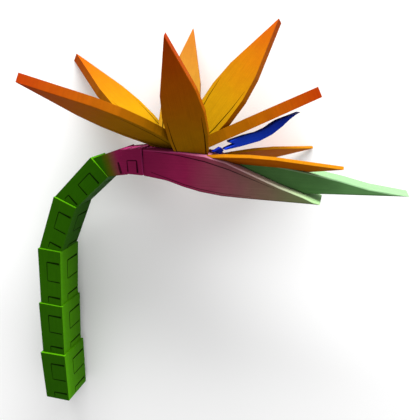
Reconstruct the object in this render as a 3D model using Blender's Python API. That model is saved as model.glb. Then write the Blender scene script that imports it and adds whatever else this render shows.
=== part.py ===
"""Bird of paradise flower, cut and laid on its back.

The flower is modelled as it grows: X points the way the head leans, Y away from its front and Z up,
with the foot of the stem at the origin and the stem's width as the unit of length. An empty named
flower then lays it down on whatever it would rest on, with the middle of its footprint at the origin.
"""

from math import cos, radians, sin

import bmesh
import bpy
import numpy as np
from mathutils import Matrix, Vector
from mathutils.bvhtree import BVHTree

# ---------------------------------------------------------------- driving dimensions

STEM_WIDTH = 0.024        # width of the stem where it starts to bend, m; the unit of every length below
GAP = 0.0003              # clearance between neighbouring pieces, m

# Stem: each segment is a square-edged block, deeper than wide, that widens a little upwards.
STEM_SINK = 0.24          # how far each segment reaches down into the one below
STEM_LENGTHS = (2.25, 2.32, 2.43, 2.21, 2.12, 1.06, 0.725)
STEM_LEANS = (-0.2, 2.5, 4.1, 22.8, 47.0, 75.3, 86.8)      # degrees from upright
STEM_WIDTHS = (1.17, 1.09, 1.02, 0.99, 0.96, 0.96, 0.97)   # width of each segment's top
STEM_DEPTHS = (1.53, 1.42, 1.36, 1.22, 1.12, 1.22, 1.36)   # depth of each segment's top
STEM_TAPERS = (0.95, 0.95, 0.95, 0.95, 0.93, 0.80, 0.90)   # size of each segment's foot over that of its top

# Spathe: two folded leaves side by side, cut from outlines (X, Z).
SPATHE_ROOT_X = 4.47
SPATHE_UPPER_EDGE = ((5.84, 11.18), (6.74, 11.10), (7.50, 10.91), (8.20, 10.63), (9.33, 10.17), (10.17, 9.88))
SPATHE_LOWER_EDGE = ((9.35, 9.66), (8.22, 9.68), (7.34, 9.71), (6.55, 9.81), (5.95, 9.95), (5.32, 10.14))
SPATHE_ROOT_TOP = 11.22
SPATHE_ROOT_FOOT = 10.26
SPATHE_TIP = (10.72, 9.64)
SPATHE_FRONT_Y = (-0.60, 0.80)
REAR_LEAF_UPPER_EDGE = ((7.66, 10.90), (8.93, 10.84), (9.60, 10.73), (10.36, 10.61), (11.34, 10.42),
                        (12.20, 10.21))
REAR_LEAF_TIP = (13.48, 10.03)
REAR_LEAF_LOWER_EDGE = ((11.89, 9.98), (10.86, 9.94), (10.16, 9.91))
REAR_LEAF_Y = (-0.25, 0.70)
REAR_LEAF_LIFT = 0.014    # how far the rear leaf sits above the front one's edge, which leaves the gap

# Sepals: one outline for all, as (share of the length, half-width over the greatest half-width).
SEPAL_OUTLINE = ((0.0, 0.42), (0.08, 0.62), (0.17, 0.82), (0.30, 0.97), (0.46, 1.0), (0.62, 0.83), (1.0, 0.0))
SEPAL_WIDTH = 1.45
SEPAL_THICK = 0.33
SEPAL_THICKEST = 0.41     # of the one that shows its edge to the front
SEPAL_THIN = 0.12
# name: root, tip, the way its broad face looks, thickness, pieces that its root is cut back by
SEPALS = {
    "sepal_centre_front": ((6.28, 0.03, 10.44), (5.89, -1.90, 14.98), (0.17, -0.92, -0.37), SEPAL_THICK, ()),
    "sepal_centre_back": ((5.13, 0.36, 10.45), (5.42, 2.50, 15.42), (0.18, -0.91, 0.38), SEPAL_THICK,
                          ("sepal_centre_front",)),
    "sepal_right_tall": ((5.75, 0.55, 10.99), (8.77, 2.20, 15.62), (-0.17, -0.89, 0.43), SEPAL_THICK,
                         ("sepal_centre_front", "sepal_centre_back")),
    "sepal_left_front": ((5.50, 0.10, 11.30), (1.81, -3.56, 13.72), (-0.04, -0.52, -0.85), SEPAL_THICK,
                         ("sepal_centre_front", "sepal_centre_back")),
    "sepal_left_back": ((5.11, 0.40, 11.10), (0.80, 1.52, 14.42), (0.56, -0.24, 0.79), SEPAL_THICK,
                        ("sepal_centre_front", "sepal_centre_back", "sepal_right_tall", "sepal_left_front")),
    "sepal_right_flat": ((5.62, 0.10, 11.00), (10.32, 2.40, 13.15), (-0.42, 0.02, 0.91), SEPAL_THICKEST,
                         ("sepal_centre_front", "sepal_centre_back", "sepal_right_tall", "sepal_left_front")),
    "sepal_low_back": ((5.73, 0.20, 10.55), (10.10, 3.70, 10.90), (0.37, -0.37, -0.85), SEPAL_THIN, ()),
    "sepal_low_front": ((5.90, 0.10, 10.72), (11.37, -0.50, 10.90), (-0.04, -0.53, -0.85), SEPAL_THIN,
                        ("sepal_centre_front", "sepal_low_back")),
}

# Blue petals: cut from outlines (distance along, Z) in one upright plane.
BLUE_START = (7.20, 0.15)     # X, Y where the plane starts
BLUE_TURN = 40.0              # degrees the plane turns back from X
BLUE_BARB = ((0.03, 11.22), (0.08, 11.28), (0.42, 11.40), (0.25, 11.45), (0.20, 11.51), (0.33, 11.56))
BLUE_UPPER_EDGE = ((0.80, 11.68), (1.33, 11.77), (1.70, 11.90), (1.95, 12.05), (2.20, 12.17), (3.12, 12.43))
BLUE_LOWER_EDGE = ((2.92, 12.34), (2.65, 12.17), (2.36, 11.94), (1.94, 11.67), (1.42, 11.46), (0.65, 11.31))
BLUE_THICK = 0.30
NECTARY = ((-0.42, 11.18), (-0.12, 11.33), (0.0, 11.21), (-0.12, 11.07))
NECTARY_THICK = 0.22


# ---------------------------------------------------------------- scene and materials

def clear_scene():
    for thing in list(bpy.data.objects):
        bpy.data.objects.remove(thing, do_unlink=True)


def wax(name, colour, roughness=0.45):
    """A waxy plant surface of one linear colour."""
    material = bpy.data.materials.new(name)
    material.use_nodes = True
    shader = material.node_tree.nodes["Principled BSDF"]
    shader.inputs["Base Color"].default_value = (*colour, 1.0)
    shader.inputs["Roughness"].default_value = roughness
    shader.inputs["Metallic"].default_value = 0.0
    return material


def add_object(name, mesh, material=None):
    piece = bpy.data.objects.new(name, mesh)
    bpy.context.scene.collection.objects.link(piece)
    if material:
        mesh.materials.append(material)
    return piece


def hide_tool(tool):
    tool.hide_render = True
    tool.display_type = "WIRE"


# ---------------------------------------------------------------- shapes

def finish_mesh(name, shape):
    """Turns a bmesh in stem widths into a mesh in metres with its faces looking out."""
    bmesh.ops.recalc_face_normals(shape, faces=shape.faces)
    bmesh.ops.scale(shape, vec=(STEM_WIDTH,) * 3, verts=shape.verts)
    mesh = bpy.data.meshes.new(name)
    shape.to_mesh(mesh)
    shape.free()
    return mesh


def slab(name, outline, thickness, place):
    """A flat plate: the outline (x, y) extruded by the thickness along z, then put in place."""
    shape = bmesh.new()
    corners = [shape.verts.new((x, y, -thickness / 2)) for x, y in outline]
    face = shape.faces.new(corners)
    raised = bmesh.ops.extrude_face_region(shape, geom=[face])
    top = [item for item in raised["geom"] if isinstance(item, bmesh.types.BMVert)]
    bmesh.ops.translate(shape, vec=(0, 0, thickness), verts=top)
    bmesh.ops.transform(shape, matrix=place, verts=shape.verts)
    return finish_mesh(name, shape)


def axes_at(origin, x_axis, y_axis, z_axis):
    """The matrix that puts a shape at origin with its own axes along the three given ones."""
    turn = Matrix((x_axis, y_axis, z_axis)).transposed()
    return Matrix.Translation(origin) @ turn.to_4x4()


def upright(y_range):
    """Places an (X, Z) outline in the flower's upright plane, centred between two depths."""
    middle = sum(y_range) / 2
    return axes_at((0, middle, 0), Vector((1, 0, 0)), Vector((0, 0, 1)), Vector((0, -1, 0)))


def grown_copy(piece, name):
    """A hidden copy of a piece that is larger by the gap on every side, to cut its neighbours with."""
    shape = bmesh.new()
    shape.from_mesh(piece.data)
    shape.normal_update()
    moves = [(corner, corner.normal * GAP * corner.calc_shell_factor()) for corner in shape.verts]
    for corner, move in moves:
        corner.co += move
    mesh = bpy.data.meshes.new(name)
    shape.to_mesh(mesh)
    shape.free()
    tool = add_object(name, mesh)
    hide_tool(tool)
    return tool


def use_tool(piece, tool, operation):
    modifier = piece.modifiers.new(tool.name, "BOOLEAN")
    modifier.operation = operation
    modifier.solver = "EXACT"
    modifier.object = tool


# ---------------------------------------------------------------- stem

def stem_block(name, foot, segment, sink):
    """One stem segment: a cube stretched to size and narrowed at its foot."""
    length = STEM_LENGTHS[segment]
    shape = bmesh.new()
    bmesh.ops.create_cube(shape, size=1.0)
    full = length + sink
    for corner in shape.verts:
        share = corner.co.z + 0.5
        along = share * full - sink
        taper = STEM_TAPERS[segment] + (1.0 - STEM_TAPERS[segment]) * along / length
        across = corner.co.x * taper * STEM_WIDTHS[segment]
        back = corner.co.y * taper * STEM_DEPTHS[segment]
        corner.co = Vector((across, back, along))
    place = Matrix.Translation(foot) @ Matrix.Rotation(radians(STEM_LEANS[segment]), 4, "Y")
    bmesh.ops.transform(shape, matrix=place, verts=shape.verts)
    return finish_mesh(name, shape)


def build_stem(material):
    """The stem and its neck, grown as one piece: seven segments that bend over into the spathe."""
    foot = Vector((0, 0, 0))
    stem = None
    for segment, (length, lean) in enumerate(zip(STEM_LENGTHS, STEM_LEANS)):
        if stem is None:
            stem = add_object("stem", stem_block("stem", foot, segment, 0.0), material)
        else:
            name = f"stem_segment_{segment + 1}"
            tool = add_object(name, stem_block(name, foot, segment, STEM_SINK))
            hide_tool(tool)
            use_tool(stem, tool, "UNION")
        foot += Vector((sin(radians(lean)), 0, cos(radians(lean)))) * length
    return stem


# ---------------------------------------------------------------- spathe

def build_spathe(front_material, rear_material):
    """The two leaves of the spathe; the rear one lies along the top of the front one."""
    root = ((SPATHE_ROOT_X, SPATHE_ROOT_FOOT), (SPATHE_ROOT_X, SPATHE_ROOT_TOP))
    outline = root + SPATHE_UPPER_EDGE + (SPATHE_TIP,) + SPATHE_LOWER_EDGE
    depth = SPATHE_FRONT_Y[1] - SPATHE_FRONT_Y[0]
    mesh = slab("spathe_front", outline, depth, upright(SPATHE_FRONT_Y))
    front = add_object("spathe_front", mesh, front_material)

    outline = REAR_LEAF_UPPER_EDGE + (REAR_LEAF_TIP,) + REAR_LEAF_LOWER_EDGE
    start, end = REAR_LEAF_UPPER_EDGE[0][0], REAR_LEAF_LOWER_EDGE[-1][0]
    under = (corner for corner in reversed(SPATHE_UPPER_EDGE) if start < corner[0] < end)
    seat = tuple((x, z + REAR_LEAF_LIFT) for x, z in under)
    depth = REAR_LEAF_Y[1] - REAR_LEAF_Y[0]
    mesh = slab("spathe_rear", outline + seat, depth, upright(REAR_LEAF_Y))
    rear = add_object("spathe_rear", mesh, rear_material)
    return front, rear


# ---------------------------------------------------------------- sepals

def sepal_mesh(name, root, tip, facing, thickness):
    """One sepal: the shared outline laid from root to tip, with its broad face looking the given way."""
    root = Vector(root)
    along = (Vector(tip) - root).normalized()
    length = (Vector(tip) - root).length
    across = Vector(facing).cross(along).normalized()
    half = SEPAL_WIDTH / 2
    right = [(share * length, width * half) for share, width in SEPAL_OUTLINE]
    left = [(x, -y) for x, y in reversed(right[:-1])]
    return slab(name, right + left, thickness, axes_at(root, along, across, along.cross(across)))


def build_sepals(material, thin_material):
    sepals = {}
    for name, (root, tip, facing, thickness, _) in SEPALS.items():
        look = thin_material if thickness == SEPAL_THIN else material
        sepals[name] = add_object(name, sepal_mesh(name, root, tip, facing, thickness), look)
    return sepals


def fit_sepals(sepals, spathe):
    """Cuts each sepal's root back from the spathe and from the sepals that it meets."""
    tools = {piece.name: grown_copy(piece, piece.name + "_space") for piece in (*sepals.values(), *spathe)}
    for name, sepal in sepals.items():
        for neighbour in ("spathe_front", "spathe_rear", *SEPALS[name][4]):
            use_tool(sepal, tools[neighbour], "DIFFERENCE")


# ---------------------------------------------------------------- blue petals

def build_blue_petals(petal_material, nectary_material):
    turn = radians(BLUE_TURN)
    along = Vector((cos(turn), sin(turn), 0))
    up = Vector((0, 0, 1))
    place = axes_at((*BLUE_START, 0), along, up, along.cross(up))
    outline = BLUE_BARB + BLUE_UPPER_EDGE + BLUE_LOWER_EDGE
    petal = add_object("blue_petal", slab("blue_petal", outline, BLUE_THICK, place), petal_material)
    nectary = add_object("blue_nectary", slab("blue_nectary", NECTARY, NECTARY_THICK, place), nectary_material)
    return petal, nectary


# ---------------------------------------------------------------- resting pose

def world_meshes(pieces):
    """Each piece's corners and triangles as evaluated, in world coordinates."""
    graph = bpy.context.evaluated_depsgraph_get()
    for piece in pieces:
        evaluated = piece.evaluated_get(graph)
        mesh = evaluated.to_mesh()
        mesh.calc_loop_triangles()
        corners = np.array([evaluated.matrix_world @ vertex.co for vertex in mesh.vertices])
        triangles = np.array([triangle.vertices[:] for triangle in mesh.loop_triangles])
        evaluated.to_mesh_clear()
        yield corners, triangles


def mass_centre(meshes):
    volume = 0.0
    moment = np.zeros(3)
    for corners, triangles in meshes:
        a, b, c = (corners[triangles[:, k]] for k in range(3))
        wedges = np.einsum("ij,ij->i", a, np.cross(b, c)) / 6
        volume += wedges.sum()
        moment += (wedges[:, None] * (a + b + c) / 4).sum(axis=0)
    return Vector(moment / volume)


def lay_down(flower, pieces):
    """Turns the flower onto the plane that its back touches, and centres its footprint."""
    meshes = list(world_meshes(pieces))
    hull = bmesh.new()
    for corner in np.vstack([corners for corners, _ in meshes]):
        hull.verts.new(corner)
    bmesh.ops.convex_hull(hull, input=hull.verts)
    down = BVHTree.FromBMesh(hull).ray_cast(mass_centre(meshes), Vector((0, 1, 0)))[1]
    hull.free()
    up = -down.normalized()
    stem_way = (Vector((0, 0, 1)) - up * up.z).normalized()
    flower.matrix_world = Matrix((stem_way.cross(up), stem_way, up)).to_4x4()
    bpy.context.view_layer.update()

    corners = np.vstack([corners for corners, _ in world_meshes(pieces)])
    low, high = corners.min(axis=0), corners.max(axis=0)
    flower.location = (-(low[0] + high[0]) / 2, -(low[1] + high[1]) / 2, -low[2])


# ---------------------------------------------------------------- flower

def main():
    clear_scene()
    green = wax("stem_green", (0.034, 0.170, 0.005))
    magenta = wax("spathe_magenta", (0.290, 0.030, 0.110))
    leaf_green = wax("spathe_green", (0.085, 0.250, 0.075))
    amber = wax("sepal_amber", (0.620, 0.260, 0.010))
    rust = wax("sepal_rust", (0.420, 0.110, 0.005))
    blue = wax("petal_blue", (0.010, 0.032, 0.390), 0.35)
    navy = wax("nectary_navy", (0.003, 0.008, 0.150), 0.35)

    stem = build_stem(green)
    spathe = build_spathe(magenta, leaf_green)
    sepals = build_sepals(amber, rust)
    fit_sepals(sepals, spathe)
    petals = build_blue_petals(blue, navy)

    flower = bpy.data.objects.new("flower", None)
    bpy.context.scene.collection.objects.link(flower)
    pieces = (stem, *spathe, *sepals.values(), *petals)
    for piece in pieces:
        piece.parent = flower
    for tool in bpy.context.scene.objects:
        if tool.hide_render:
            tool.parent = flower
    lay_down(flower, pieces)


main()
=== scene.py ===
"""Looks of the cut bird of paradise flower: waxy petals, leaves and stem on a pale studio floor."""

from math import cos, radians, sin

import bmesh
import bpy
from mathutils import Matrix, Vector


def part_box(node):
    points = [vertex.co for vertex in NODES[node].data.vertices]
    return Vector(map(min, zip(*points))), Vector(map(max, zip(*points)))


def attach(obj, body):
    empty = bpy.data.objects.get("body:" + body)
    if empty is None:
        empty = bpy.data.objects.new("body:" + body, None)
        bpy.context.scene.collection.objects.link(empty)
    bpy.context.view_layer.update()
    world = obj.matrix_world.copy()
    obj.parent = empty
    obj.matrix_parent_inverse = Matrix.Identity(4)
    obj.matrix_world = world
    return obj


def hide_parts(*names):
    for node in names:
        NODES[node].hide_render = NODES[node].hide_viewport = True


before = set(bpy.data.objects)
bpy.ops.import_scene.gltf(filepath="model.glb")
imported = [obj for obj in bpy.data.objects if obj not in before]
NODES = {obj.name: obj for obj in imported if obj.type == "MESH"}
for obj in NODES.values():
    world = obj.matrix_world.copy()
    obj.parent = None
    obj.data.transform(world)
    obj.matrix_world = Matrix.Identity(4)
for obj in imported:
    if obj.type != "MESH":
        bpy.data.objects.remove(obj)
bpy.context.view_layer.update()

# ---------------------------------------------------------------- sizes

# The stem's segments, as the part has them, in stem widths and degrees from upright.
LONG_SEGMENTS = 5             # those below the neck
SEGMENT_LENGTHS = (2.25, 2.32, 2.43, 2.21, 2.12, 1.06, 0.725)
SEGMENT_LEANS = (-0.2, 2.5, 4.1, 22.8, 47.0, 75.3, 86.8)
SEGMENT_WIDTHS = (1.17, 1.09, 1.02, 0.99, 0.96, 0.96, 0.97)
SEGMENT_DEPTHS = (1.53, 1.42, 1.36, 1.22, 1.12, 1.22, 1.36)
SEGMENT_TAPERS = (0.95, 0.95, 0.95, 0.95, 0.93, 0.80, 0.90)     # size of a segment's foot over that of its top

# Camera, in the flower's own growing axes and stem widths.
EYE = (11.33, -16.22, 13.93)
EYE_TURN = 15.7
EYE_TILT = -16.3
LENS = 41.1

# Light: the way towards the soft box, its distance in m and power in W, and the strength of the surround
KEY_WAY = (0.14, 0.96, 0.250)
KEY_DISTANCE = 1.8
KEY_POWER = 88.0
SOFT_BOX_SIZE = (2.2, 0.7)    # m
SOFT_BOX_AIM = (0.0, 0.02, 0.05)
SURROUND = 0.66
FLOOR_REACH = 12.0            # m

FRONT_SHIFT = 4.0             # sets the grain of the stem's front and back apart from that of its sides, stem widths
NECK_REACH = 0.00022          # how far the neck's end closes up to the spathe, m

# Rounding of edges, m
STEM_ROUNDING = 0.0006
LEAF_ROUNDING = 0.0011
PETAL_ROUNDING = 0.0007
THIN_SHARE = 0.6              # a thin sepal's rounding over that of the others
ROUNDING_STEPS = 2

# Where the sepals spring from, in stem widths in the flower's growing axes.
HEART = (5.8, 0.1, 10.9)
JOINT_X = 4.45                # where the stem's neck meets the spathe, along the way the head leans
JOINT_SLACK = 0.06            # how near to that a point counts as being on the joint
SEPAL_LENGTH = 5.6

EDGE_AREA = 2e-5              # faces below this area, m2, belong to rounded edges
FLAT_TURN = 0.8               # faces that turn by less than this, degrees, are one flat face
SHARP_TURN = 40.0             # edges that turn by more than this, degrees, stay sharp

THICK_SEPALS = ("sepal_centre_front", "sepal_centre_back", "sepal_right_tall", "sepal_left_front",
                "sepal_left_back", "sepal_right_flat")
THIN_SEPALS = ("sepal_low_back", "sepal_low_front")
# Lighter copies of the sepal colour for sepals that face the light and a darker one for those turned away: painted
# light and shade. The low sepals' copy is brightened against the shade of those above.
SEPAL_SKINS = {
    "sepal_centre_front": "painted_shade_orange", "sepal_left_front": "painted_shade_orange", "sepal_right_flat": "painted_shade_orange",
    "sepal_centre_back": "painted_light_honey", "sepal_right_tall": "amber", "sepal_left_back": "amber",
    "sepal_low_back": "rust", "sepal_low_front": "rust",
}

# A sepal's crease: share of the length from the root, distance from the midline and half-width, in stem widths.
CREASE_KNOTS = ((0.06, 0.27, 0.026), (0.20, 0.45, 0.030), (0.36, 0.56, 0.020), (0.50, 0.59, 0.005))


# ---------------------------------------------------------------- shapes from the frame

def faceted_copy(node):
    """A bmesh of a CAD node with its triangles joined back into the flat faces they came from."""
    shape = bmesh.new()
    shape.from_mesh(NODES[node].data)
    bmesh.ops.remove_doubles(shape, verts=shape.verts, dist=1e-6)
    bmesh.ops.dissolve_limit(shape, angle_limit=radians(FLAT_TURN), verts=shape.verts, edges=shape.edges)
    shape.normal_update()
    return shape


def growing_axes():
    """The flower's own axes, read off the cut end of its stem, as a matrix from stem widths to the row's metres."""
    shape = faceted_copy("stem")
    cut = min(shape.faces, key=lambda face: face.calc_center_median().y)
    up = -cut.normal
    long_side = max(cut.edges, key=lambda edge: edge.calc_length())
    short_side = min(cut.edges, key=lambda edge: edge.calc_length())
    back = (long_side.verts[1].co - long_side.verts[0].co).normalized()
    if back.z > 0:
        back = -back
    across = back.cross(up).normalized()
    width = short_side.calc_length() / (SEGMENT_TAPERS[0] * SEGMENT_WIDTHS[0])
    foot = cut.calc_center_median()
    shape.free()
    turn = Matrix((across, back, up)).transposed() @ Matrix.Rotation(-radians(SEGMENT_LEANS[0]), 3, "Y")
    return Matrix.Translation(foot) @ turn.to_4x4() @ Matrix.Scale(width, 4), width


GROWN, WIDTH = growing_axes()
GROWN_TURN = GROWN.to_3x3().normalized()


def grown_point(x, y, z):
    return GROWN @ Vector((x, y, z))


def round_edges(shape, width, least_angle=8.0, joint_x=None):
    """Rounds every edge that turns by more than the least angle, except round the joint of neck and spathe."""
    ungrown = GROWN.inverted()

    def at_joint(edge):
        return joint_x is not None and all(abs((ungrown @ end.co).x - joint_x) < JOINT_SLACK for end in edge.verts)

    sharp = [edge for edge in shape.edges
             if edge.calc_face_angle(0.0) > radians(least_angle) and not at_joint(edge)]
    bmesh.ops.bevel(shape, geom=sharp, offset=width, offset_type="OFFSET", segments=ROUNDING_STEPS,
                    profile=0.5, affect="EDGES", clamp_overlap=True, material=-1)


def mesh_of(shape, name):
    bmesh.ops.recalc_face_normals(shape, faces=shape.faces)
    mesh = bpy.data.meshes.new(name)
    shape.to_mesh(mesh)
    shape.free()
    return mesh


def add_object(name, mesh):
    piece = bpy.data.objects.new(name, mesh)
    bpy.context.scene.collection.objects.link(piece)
    return piece


# ---------------------------------------------------------------- creases

def crease_mesh(name, lines):
    """A closed four-sided tube along each line of (point, radius) pairs, to cut creases with."""
    curve = bpy.data.curves.new(name, "CURVE")
    curve.dimensions = "3D"
    curve.bevel_depth = 1.0
    curve.bevel_resolution = 0
    curve.use_fill_caps = True
    for line in lines:
        spline = curve.splines.new("POLY")
        spline.points.add(len(line) - 1)
        for knot, (point, radius) in zip(spline.points, line):
            knot.co = (*point, 1.0)
            knot.radius = radius
    holder = add_object(name, curve)
    graph = bpy.context.evaluated_depsgraph_get()
    mesh = bpy.data.meshes.new_from_object(holder.evaluated_get(graph))
    bpy.data.objects.remove(holder)
    bpy.data.curves.remove(curve)
    shape = bmesh.new()
    shape.from_mesh(mesh)
    bmesh.ops.remove_doubles(shape, verts=shape.verts, dist=1e-7)
    bpy.data.meshes.remove(mesh)
    return mesh_of(shape, name)


def keep_main_shell(mesh):
    """Keeps the piece itself, and drops any small shell that a cut leaves apart from it."""
    shape = bmesh.new()
    shape.from_mesh(mesh)
    left = set(shape.verts)
    shells = []
    while left:
        shell = [left.pop()]
        for corner in shell:                 # grows as it is walked
            for edge in corner.link_edges:
                other = edge.other_vert(corner)
                if other in left:
                    left.remove(other)
                    shell.append(other)
        shells.append(shell)
    shells.sort(key=len)
    apart = [corner for shell in shells[:-1] for corner in shell]
    bmesh.ops.delete(shape, geom=apart, context="VERTS")
    shape.to_mesh(mesh)
    shape.free()


def cut_creases(piece, lines, material, solver="MANIFOLD"):
    """Cuts creases into a piece; their walls take the given darker material, painted shade."""
    mesh = crease_mesh(piece.name + "_creases", lines)
    mesh.materials.append(material)
    tool = add_object(piece.name + "_creases", mesh)
    cut = piece.modifiers.new("creases", "BOOLEAN")
    cut.operation = "DIFFERENCE"
    cut.solver = solver
    cut.use_self = True
    cut.material_mode = "TRANSFER"
    cut.object = tool
    graph = bpy.context.evaluated_depsgraph_get()
    worked = bpy.data.meshes.new_from_object(piece.evaluated_get(graph))
    piece.modifiers.clear()
    old = piece.data
    piece.data = worked
    bpy.data.meshes.remove(old)
    bpy.data.objects.remove(tool)
    bpy.data.meshes.remove(mesh)
    keep_main_shell(worked)


# ---------------------------------------------------------------- surface coordinates and finishing

def lay_grain(mesh, place, paleness_and_painted_light):
    """Gives every corner its place along and across the piece, and every face its share of the edge colour, partly
    paler edge tissue and partly painted light and shade by the way the face turns.
    """
    mesh.uv_layers.new(name="grain")
    mesh.attributes.new("pale", "FLOAT", "CORNER")
    layer = mesh.uv_layers["grain"]          # looked up once both exist, as adding one moves the other
    pale = mesh.attributes["pale"]
    for face in mesh.polygons:
        share = paleness_and_painted_light(face)
        for loop in face.loop_indices:
            point = mesh.vertices[mesh.loops[loop].vertex_index].co
            layer.data[loop].uv = place(face, point)
            pale.data[loop].value = share


def finish_piece(piece, node, slot):
    piece.data.set_sharp_from_angle(angle=radians(SHARP_TURN))
    for face in piece.data.polygons:
        face.use_smooth = face.area < EDGE_AREA
    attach(piece, "root")
    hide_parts(node)


# ---------------------------------------------------------------- materials

def node_of(tree, kind, **inputs):
    made = tree.nodes.new(kind)
    for key, value in inputs.items():
        made.inputs[key.replace("_", " ")].default_value = value
    return made


def mix_colours(tree, blend, amount, first, second):
    """Mixes two colour outputs; amount is a number or an output."""
    mix = tree.nodes.new("ShaderNodeMix")
    mix.data_type = "RGBA"
    mix.blend_type = blend
    mix.clamp_result = True
    if isinstance(amount, float):
        mix.inputs["Factor"].default_value = amount
    else:
        tree.links.new(amount, mix.inputs["Factor"])
    for socket, colour in ((mix.inputs[6], first), (mix.inputs[7], second)):
        if isinstance(colour, tuple):
            socket.default_value = (*colour, 1.0)
        else:
            tree.links.new(colour, socket)
    return mix.outputs[2]


def ramp(tree, value, stops):
    """A colour ramp over (position, colour) stops."""
    made = tree.nodes.new("ShaderNodeValToRGB")
    tree.links.new(value, made.inputs["Fac"])
    band = made.color_ramp
    while len(band.elements) < len(stops):
        band.elements.new(0.5)
    for element, (position, colour) in zip(band.elements, stops):
        element.position = position
        element.color = (*colour, 1.0)
    return made.outputs["Color"]


def plant_skin(name, span, stops, pale_and_painted_light_stops, shades=None, drift_share=0.05, fibres=1400.0, roughness=0.55, vein=0.16,
               mottle=0.14):
    """Waxy plant tissue: colour runs along the piece, with fine lengthwise fibres, mottling and a soft sheen.

    span is the stretch of the piece, in metres along its grain, that the colour stops cover; the edge stops colour
    its edges and the faces chosen for painted light, partly paler tissue and partly painted light and shade. The
    shade steps, (place across the grain, share of the colour), paint shade across the grain; drift_share is how far
    the run wanders.
    """
    material = bpy.data.materials.new(name)
    material.use_nodes = True
    tree = material.node_tree
    links = tree.links
    shader = tree.nodes["Principled BSDF"]

    grain = tree.nodes.new("ShaderNodeUVMap")
    grain.uv_map = "grain"
    parts = tree.nodes.new("ShaderNodeSeparateXYZ")
    links.new(grain.outputs["UV"], parts.inputs["Vector"])
    place = tree.nodes.new("ShaderNodeTexCoord")

    # the run of colour, its boundary pushed about a little so that no band is straight
    drift = node_of(tree, "ShaderNodeTexNoise", Scale=70.0, Detail=3.0)
    links.new(place.outputs["Object"], drift.inputs["Vector"])
    along = tree.nodes.new("ShaderNodeMapRange")
    along.inputs["From Min"].default_value = span[0]
    along.inputs["From Max"].default_value = span[1]
    links.new(parts.outputs["X"], along.inputs["Value"])
    wander = tree.nodes.new("ShaderNodeMath")
    wander.operation = "MULTIPLY_ADD"
    links.new(drift.outputs["Fac"], wander.inputs[0])
    wander.inputs[1].default_value = 2 * drift_share
    wander.inputs[2].default_value = -drift_share
    shifted = tree.nodes.new("ShaderNodeMath")
    shifted.operation = "ADD"
    links.new(along.outputs["Result"], shifted.inputs[0])
    links.new(wander.outputs["Value"], shifted.inputs[1])
    colour = ramp(tree, shifted.outputs["Value"], stops)
    # painted light and shade: edges and faces turned to the light take this second ramp, partly paler tissue
    edge_and_painted_light_colour = ramp(tree, shifted.outputs["Value"], pale_and_painted_light_stops)
    pale = tree.nodes.new("ShaderNodeAttribute")
    pale.attribute_name = "pale"
    colour = mix_colours(tree, "MIX", pale.outputs["Fac"], colour, edge_and_painted_light_colour)
    # painted shade: the colour darkens in steps across the grain
    if shades:
        low, high = shades[0][0], shades[-1][0]
        reach = tree.nodes.new("ShaderNodeMapRange")
        reach.inputs["From Min"].default_value = low
        reach.inputs["From Max"].default_value = high
        links.new(parts.outputs["Y"], reach.inputs["Value"])
        steps = tuple(((where - low) / (high - low), (share,) * 3) for where, share in shades)
        colour = mix_colours(tree, "MULTIPLY", 1.0, colour, ramp(tree, reach.outputs["Result"], steps))

    # fibres: noise stretched along the grain
    stretch = tree.nodes.new("ShaderNodeMapping")
    stretch.inputs["Scale"].default_value = (26.0, fibres, 1.0)
    links.new(grain.outputs["UV"], stretch.inputs["Vector"])
    strand = node_of(tree, "ShaderNodeTexNoise", Scale=1.0, Detail=4.0, Roughness=0.6)
    links.new(stretch.outputs["Vector"], strand.inputs["Vector"])
    strands = ramp(tree, strand.outputs["Fac"], ((0.32, (0.30,) * 3), (0.68, (0.70,) * 3)))
    colour = mix_colours(tree, "OVERLAY", vein, colour, strands)

    # mottling in patches, and fine pores
    patch = node_of(tree, "ShaderNodeTexNoise", Scale=160.0, Detail=5.0, Roughness=0.55)
    links.new(place.outputs["Object"], patch.inputs["Vector"])
    patches = ramp(tree, patch.outputs["Fac"], ((0.30, (0.34,) * 3), (0.70, (0.66,) * 3)))
    colour = mix_colours(tree, "OVERLAY", mottle, colour, patches)
    links.new(colour, shader.inputs["Base Color"])

    # sheen varies with the patches
    gloss = tree.nodes.new("ShaderNodeMapRange")
    gloss.inputs["To Min"].default_value = roughness - 0.07
    gloss.inputs["To Max"].default_value = roughness + 0.10
    links.new(patch.outputs["Fac"], gloss.inputs["Value"])
    links.new(gloss.outputs["Result"], shader.inputs["Roughness"])
    shader.inputs["IOR"].default_value = 1.07
    shader.inputs["Specular IOR Level"].default_value = 0.5

    # fibres and pores stand very slightly proud
    pore = node_of(tree, "ShaderNodeTexNoise", Scale=1500.0, Detail=2.0)
    links.new(place.outputs["Object"], pore.inputs["Vector"])
    relief = tree.nodes.new("ShaderNodeMath")
    relief.operation = "MULTIPLY_ADD"
    links.new(pore.outputs["Fac"], relief.inputs[0])
    relief.inputs[1].default_value = 0.35
    links.new(strand.outputs["Fac"], relief.inputs[2])
    bump = tree.nodes.new("ShaderNodeBump")
    bump.inputs["Strength"].default_value = 0.5
    bump.inputs["Distance"].default_value = 0.00022
    links.new(relief.outputs["Value"], bump.inputs["Height"])
    links.new(bump.outputs["Normal"], shader.inputs["Normal"])
    return material


def scaled(stops, share):
    return tuple((position, tuple(share * part for part in colour)) for position, colour in stops)


def skin_pair(name, span, stops, pale_and_painted_light_stops, **look):
    """A piece's skin, and a darker copy of it for the walls of its creases, painted shade."""
    # painted shade: the crease walls take the colour at 0.28 of its strength
    crease_shade_stops = scaled(stops, 0.28)
    return plant_skin(name, span, stops, pale_and_painted_light_stops, **look), plant_skin(name + "_crease", span, crease_shade_stops, crease_shade_stops, **look)


# ---------------------------------------------------------------- stem

STEM_GREEN = (0.0270, 0.130, 0.0003)
STEM_DEEP = (0.0200, 0.104, 0.0003)
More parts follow.
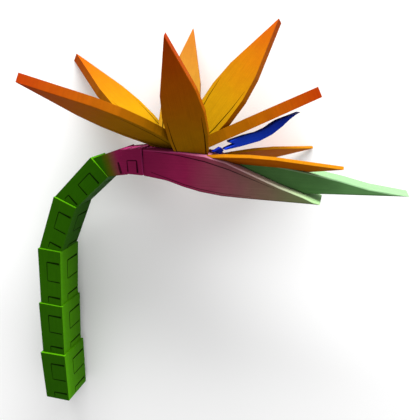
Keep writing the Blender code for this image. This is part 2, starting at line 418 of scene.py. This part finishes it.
# painted light on the segments' rims and rounded edges, partly paler tissue
STEM_PALE_AND_PAINTED_LIGHT = (0.072, 0.290, 0.002)
STEM_OLIVE = (0.095, 0.080, 0.004)
NECK_MAGENTA = (0.270, 0.012, 0.074)
MAGENTA = (0.205, 0.009, 0.056)
# painted light on the front leaf's faces that look up the flower, partly paler tissue
MAGENTA_PALE_AND_PAINTED_LIGHT = (0.300, 0.022, 0.110)

# Outlines on the long segments and on the neck's two short ones: left, right, top and foot.
LONG_MARKS = ((-0.12, 0.44, 0.78, 0.44), (-0.12, 0.44, 0.14, None))
LOWEST_MARK = 0.03            # where an outline that the foot cuts off ends, as a share of the segment
SEGMENT_MARKS = (LONG_MARKS,) * LONG_SEGMENTS + (((-0.02, 0.44, 0.80, 0.76),), ((-0.05, 0.42, 0.74, 0.20),))


def segments():
    """Each stem segment's place (its own x across, y back, z along), length and distance from the cut end."""
    foot = Vector((0, 0, 0))
    run = 0.0
    for length, lean in zip(SEGMENT_LENGTHS, SEGMENT_LEANS):
        yield GROWN @ Matrix.Translation(foot) @ Matrix.Rotation(radians(lean), 4, "Y"), length, run
        foot += Vector((sin(radians(lean)), 0, cos(radians(lean)))) * length
        run += length


def mark_lines(number, place):
    """The shallow square outlines on a segment's four sides, whole or cut off by the segment's foot.

    An outline is (left, right, top, foot) shares of a side; one whose foot is None runs out at the foot.
    """
    length, foot_size = SEGMENT_LENGTHS[number], SEGMENT_TAPERS[number]
    wide, deep = SEGMENT_WIDTHS[number], SEGMENT_DEPTHS[number]
    for quarter in range(4):
        turn = Matrix.Rotation(radians(90 * quarter), 4, "Z")
        half_wide, half_out = (wide / 2, deep / 2) if quarter % 2 == 0 else (deep / 2, wide / 2)
        for left, right, top, foot in SEGMENT_MARKS[number]:
            def corner(side, share):
                taper = foot_size + (1.0 - foot_size) * share
                flat = Vector((side * 2 * half_wide * taper, -half_out * taper, share * length))
                return place @ (turn @ flat)
            floor = LOWEST_MARK if foot is None else foot
            yield [(corner(left, top), 0.034 * WIDTH), (corner(right, top), 0.054 * WIDTH)]
            yield [(corner(left, top), 0.024 * WIDTH), (corner(left, floor), 0.018 * WIDTH)]
            if foot is not None:
                yield [(corner(left, foot), 0.022 * WIDTH), (corner(right, foot), 0.034 * WIDTH)]


def build_stem():
    shape = faceted_copy("stem")
    round_edges(shape, STEM_ROUNDING, joint_x=JOINT_X)
    ungrown = GROWN.inverted()
    end = [corner for corner in shape.verts if (ungrown @ corner.co).x > JOINT_X - JOINT_SLACK]
    bmesh.ops.translate(shape, vec=GROWN_TURN @ Vector((NECK_REACH, 0, 0)), verts=end)
    stem = add_object("stem_skin", mesh_of(shape, "stem_skin"))
    whole = sum(SEGMENT_LENGTHS)
    bend = sum(SEGMENT_LENGTHS[:LONG_SEGMENTS]) / whole
    stops = ((0.0, STEM_DEEP), (0.14, STEM_DEEP), (0.42, STEM_GREEN), (bend + 0.010, STEM_DEEP),
             (bend + 0.034, STEM_OLIVE), (bend + 0.066, NECK_MAGENTA))
    # the rims' and rounded edges' colour: painted light, partly paler tissue
    pale_and_painted_light_stops = ((0.0, STEM_PALE_AND_PAINTED_LIGHT), (bend + 0.010, STEM_PALE_AND_PAINTED_LIGHT), (bend + 0.036, (0.27, 0.16, 0.04)),
                  (bend + 0.066, (0.40, 0.030, 0.150)))
    # painted shade across the side faces, bright by the front edge and darker towards the back; flat places across
    # the front and back lie FRONT_SHIFT further on than those across the sides
    shades = ((-0.70 * WIDTH, 1.0), (-0.45 * WIDTH, 0.78), (0.0, 0.60), (0.70 * WIDTH, 0.46), (1.5 * WIDTH, 0.76),
              ((FRONT_SHIFT + 1.0) * WIDTH, 0.76))
    skin, crease_shade_skin = skin_pair("stem_green", (0.0, whole * WIDTH), stops, pale_and_painted_light_stops, shades=shades, drift_share=0.004,
                             vein=0.22)
    stem.data.materials.append(skin)
    lines = []
    places = list(segments())
    for number, (place, _, _) in enumerate(places):
        lines += mark_lines(number, place)
    cut_creases(stem, lines, crease_shade_skin, solver="EXACT")    # the other solver spoils faces inside the outlines
    inverses = [(place.inverted(), length, run) for place, length, run in places]

    def grain(face, point):
        centre = face.center
        best = None
        for inverse, length, run in inverses:
            local = inverse @ centre
            outside = max(0.0, -local.z, local.z - length) + 0.2 * (abs(local.x) + abs(local.y))
            if best is None or outside < best[0]:
                best = (outside, inverse, run)
        _, inverse, run = best
        local = inverse @ point
        facing = inverse.to_3x3() @ face.normal
        across = local.x + FRONT_SHIFT if abs(facing.y) > abs(facing.x) else local.y
        return (run + local.z) * WIDTH, across * WIDTH

    def paleness_and_painted_light(face):
        """Paler on the rims of the segments, which look up along the stem, partly paler tissue and partly painted
        light; a little paler along rounded edges, painted light.
        """
        rim = max((place.to_3x3().normalized() @ Vector((0, 0, 1))).dot(face.normal) for place, _, _ in places)
        return 1.0 if rim > 0.9 else 0.25 if face.area < EDGE_AREA else 0.0

    lay_grain(stem.data, grain, paleness_and_painted_light)
    finish_piece(stem, "stem", "stem")


# ---------------------------------------------------------------- spathe

def build_spathe():
    for node, slot, lines, (skin, crease_shade_skin) in (
        ("spathe_front", "spathe_front", front_leaf_lines(), front_leaf_skin()),
        ("spathe_rear", "spathe_rear", (), rear_leaf_skin()),
    ):
        shape = faceted_copy(node)
        round_edges(shape, LEAF_ROUNDING, joint_x=JOINT_X)
        leaf = add_object(node + "_leaf", mesh_of(shape, node + "_leaf"))
        leaf.data.materials.append(skin)
        if lines:
            cut_creases(leaf, lines, crease_shade_skin)
        back_to_grown = GROWN.inverted()
        turn_back = GROWN_TURN.transposed()

        def grain(face, point):
            local = back_to_grown @ point
            across = local.z if abs((turn_back @ face.normal).y) > 0.5 else local.y
            return local.x * WIDTH, across * WIDTH

        # painted light: faces that look up the flower, towards the soft box, take the paler colour
        def paleness_and_painted_light(face):
            return 1.0 if (turn_back @ face.normal).z > 0.3 else 0.0

        lay_grain(leaf.data, grain, paleness_and_painted_light)
        finish_piece(leaf, node, slot)


def front_leaf_lines():
    """Creases below the front leaf's upper edge and above its lower one, on both broad faces."""
    upper = ((4.9, 11.16, 0.006), (5.84, 11.06, 0.018), (6.73, 10.90, 0.022), (7.61, 10.66, 0.020),
             (8.48, 10.35, 0.012), (9.2, 10.09, 0.004))
    lower = ((4.75, 10.42, 0.010), (5.4, 10.22, 0.015), (6.0, 10.04, 0.016), (6.6, 9.91, 0.014),
             (7.4, 9.81, 0.010), (8.4, 9.77, 0.004))
    for y in (-0.60, 0.80):
        for line in (upper, lower):
            yield [(grown_point(x, y, z), size * WIDTH) for x, z, size in line]


def front_leaf_skin():
    stops = ((0.0, MAGENTA), (0.25, (0.196, 0.010, 0.050)), (0.55, (0.150, 0.052, 0.056)),
             (0.78, (0.118, 0.100, 0.054)), (1.0, (0.095, 0.150, 0.055)))
    # painted light on the faces that look up the flower, partly paler tissue
    pale_and_painted_light_stops = ((0.0, MAGENTA_PALE_AND_PAINTED_LIGHT), (0.25, (0.330, 0.050, 0.140)), (0.55, (0.440, 0.240, 0.270)),
                  (0.78, (0.420, 0.420, 0.300)), (1.0, (0.310, 0.560, 0.230)))
    return skin_pair("spathe_blush", (4.5 * WIDTH, 10.7 * WIDTH), stops, pale_and_painted_light_stops, fibres=900.0, vein=0.20)


def rear_leaf_skin():
    stops = ((0.0, (0.062, 0.155, 0.042)), (0.5, (0.070, 0.175, 0.052)), (1.0, (0.085, 0.200, 0.070)))
    # painted light on the faces that look up the flower, partly paler tissue
    pale_and_painted_light_stops = ((0.0, (0.165, 0.310, 0.145)), (1.0, (0.190, 0.330, 0.170)))
    return skin_pair("spathe_green", (7.5 * WIDTH, 13.4 * WIDTH), stops, pale_and_painted_light_stops, fibres=900.0, vein=0.20)


# ---------------------------------------------------------------- sepals

def plate_axes(shape, heart):
    """A plate's tip, the way it runs from root to tip, the way across it and its broad face's outward way."""
    broad = max(shape.faces, key=lambda face: face.calc_area())
    tip = max(broad.verts, key=lambda corner: (corner.co - heart).length)
    sides = [(loop.edge.other_vert(tip).co - tip.co).normalized()
             for loop in broad.loops for corner in loop.edge.verts if corner is tip]
    along = -(sides[0] + sides[-1]).normalized()
    across = broad.normal.cross(along).normalized()
    thick = max(-(corner.co - tip.co).dot(broad.normal) for corner in shape.verts)
    return tip.co.copy(), along, across, broad.normal.copy(), thick


def sepal_creases(axes):
    """Two creases on each broad face, from beside the root to the widest part, fading towards the tip."""
    tip, along, across, out, thick = axes
    length = SEPAL_LENGTH * WIDTH
    for depth in (0.0, thick):
        for side in (-1, 1):
            line = []
            for share, half, size in CREASE_KNOTS:
                point = tip - along * (length * (1 - share)) + across * (side * half * WIDTH) - out * depth
                line.append((point, size * WIDTH))
            yield line


def build_sepals():
    heart = grown_point(*HEART)
    length = SEPAL_LENGTH * WIDTH
    # lit and shaded copies of one sepal colour: painted light and shade
    skins = {
        "amber": skin_pair("sepal_amber", (0.0, length), (
            (0.0, (0.390, 0.060, 0.001)), (0.30, (0.385, 0.118, 0.001)), (0.62, (0.350, 0.172, 0.001)),
            (1.0, (0.265, 0.158, 0.001))), (
            (0.0, (0.300, 0.042, 0.001)), (0.5, (0.290, 0.095, 0.001)), (1.0, (0.230, 0.120, 0.001))), vein=0.20),
        "painted_light_honey": skin_pair("sepal_painted_light_honey", (0.0, length), (
            (0.0, (0.430, 0.130, 0.014)), (0.35, (0.410, 0.185, 0.018)), (0.62, (0.390, 0.200, 0.010)),
            (1.0, (0.300, 0.180, 0.002))), (
            (0.0, (0.360, 0.090, 0.006)), (0.5, (0.330, 0.130, 0.006)), (1.0, (0.250, 0.140, 0.001))), vein=0.20),
        "painted_shade_orange": skin_pair("sepal_painted_shade_orange", (0.0, length), (
            (0.0, (0.290, 0.026, 0.0003)), (0.30, (0.290, 0.062, 0.0003)), (0.62, (0.255, 0.100, 0.0003)),
            (1.0, (0.180, 0.094, 0.0003))), (
            (0.0, (0.270, 0.024, 0.0003)), (0.45, (0.262, 0.066, 0.0003)), (1.0, (0.180, 0.090, 0.0003))),
            vein=0.20),
        "rust": skin_pair("sepal_rust", (0.0, length), (
            (0.0, (0.400, 0.105, 0.001)), (0.4, (0.380, 0.084, 0.001)), (1.0, (0.320, 0.080, 0.001))), (
            (0.0, (0.450, 0.165, 0.003)), (1.0, (0.390, 0.138, 0.002))), vein=0.20),
    }
    for node in (*THICK_SEPALS, *THIN_SEPALS):
        thin = node in THIN_SEPALS
        skin, crease_shade_skin = skins[SEPAL_SKINS[node]]
        shape = faceted_copy(node)
        axes = plate_axes(shape, heart)
        tip, along, across, out = axes[:4]
        round_edges(shape, PETAL_ROUNDING * (THIN_SHARE if thin else 1.0))
        sepal = add_object(node + "_petal", mesh_of(shape, node + "_petal"))
        sepal.data.materials.append(skin)
        cut_creases(sepal, list(sepal_creases(axes)), crease_shade_skin)
        # the edge faces take the second stops: darker on the thick sepals, painted shade; lighter on the low ones,
        # painted light on their top edges
        lay_grain(sepal.data, lambda face, point: ((point - tip).dot(-along), (point - tip).dot(across)),
                  lambda face: 1.0 if abs(face.normal.dot(out)) < 0.6 else 0.0)
        finish_piece(sepal, node, "low_sepal" if thin else "sepal")


# ---------------------------------------------------------------- blue petals

def build_blue_petals():
    for node, slot, stops in (
        ("blue_petal", "blue_petal", ((0.0, (0.004, 0.016, 0.230)), (0.35, (0.006, 0.030, 0.400)),
                                      (0.7, (0.005, 0.020, 0.290)), (1.0, (0.003, 0.012, 0.190)))),
        ("blue_nectary", "nectary", ((0.0, (0.002, 0.005, 0.095)), (1.0, (0.002, 0.007, 0.120)))),
    ):
        shape = faceted_copy(node)
        round_edges(shape, PETAL_ROUNDING)
        petal = add_object(node + "_skin", mesh_of(shape, node + "_skin"))
        low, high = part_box(node)
        # painted highlight: faces turned towards the soft box take a colour 1.9 times as bright
        pale_and_painted_light_stops = scaled(stops, 1.9)
        petal.data.materials.append(plant_skin(node + "_blue", (low.x, high.x), stops, pale_and_painted_light_stops, fibres=1500.0,
                                               roughness=0.45))
        lay_grain(petal.data, lambda face, point: (point.x, point.y),
                  lambda face: 1.0 if face.normal.y > 0.5 else 0.0)
        finish_piece(petal, node, slot)


# ---------------------------------------------------------------- studio

def plain_material(name, colour, roughness):
    material = bpy.data.materials.new(name)
    material.use_nodes = True
    tree = material.node_tree
    shader = tree.nodes["Principled BSDF"]
    place = tree.nodes.new("ShaderNodeTexCoord")
    cloud = node_of(tree, "ShaderNodeTexNoise", Scale=3.0, Detail=2.0)
    tree.links.new(place.outputs["Object"], cloud.inputs["Vector"])
    paler = tuple(min(1.0, part * 1.02) for part in colour)
    tree.links.new(mix_colours(tree, "MIX", cloud.outputs["Fac"], colour, paler), shader.inputs["Base Color"])
    shader.inputs["Roughness"].default_value = roughness
    shader.inputs["Specular IOR Level"].default_value = 0.1
    return material


def build_floor():
    shape = bmesh.new()
    bmesh.ops.create_grid(shape, x_segments=1, y_segments=1, size=FLOOR_REACH)
    floor = add_object("floor", mesh_of(shape, "floor"))
    floor.data.materials.append(plain_material("pale_floor", (0.94, 0.94, 0.94), 0.9))


def build_lights():
    """One long low soft box beyond the flower's head, and an even white surround."""
    light = bpy.data.lights.new("soft_box", "AREA")
    light.shape = "RECTANGLE"
    light.size, light.size_y = SOFT_BOX_SIZE
    light.energy = KEY_POWER
    lamp = bpy.data.objects.new("soft_box", light)
    bpy.context.scene.collection.objects.link(lamp)
    target = Vector(SOFT_BOX_AIM)
    lamp.location = target + Vector(KEY_WAY).normalized() * KEY_DISTANCE
    lamp.rotation_euler = (target - lamp.location).to_track_quat("-Z", "Y").to_euler()
    world = bpy.data.worlds.new("studio")
    world.use_nodes = True
    world.node_tree.nodes["Background"].inputs["Color"].default_value = (1.0, 1.0, 1.0, 1.0)
    world.node_tree.nodes["Background"].inputs["Strength"].default_value = SURROUND
    bpy.context.scene.world = world
    bpy.context.scene.view_settings.view_transform = "Standard"


def build_camera():
    camera = bpy.data.objects.new("camera", bpy.data.cameras.new("camera"))
    bpy.context.scene.collection.objects.link(camera)
    camera.data.lens = LENS
    camera.data.sensor_width = 36.0
    camera.data.clip_start = 0.01
    look = (Matrix.Rotation(radians(EYE_TURN), 3, "Z") @ Matrix.Rotation(radians(EYE_TILT), 3, "X")
            @ Matrix.Rotation(radians(90), 3, "X"))
    camera.matrix_world = Matrix.Translation(grown_point(*EYE)) @ (GROWN_TURN @ look).to_4x4()
    bpy.context.scene.camera = camera


build_stem()
build_spathe()
build_sepals()
build_blue_petals()
build_floor()
build_lights()
build_camera()
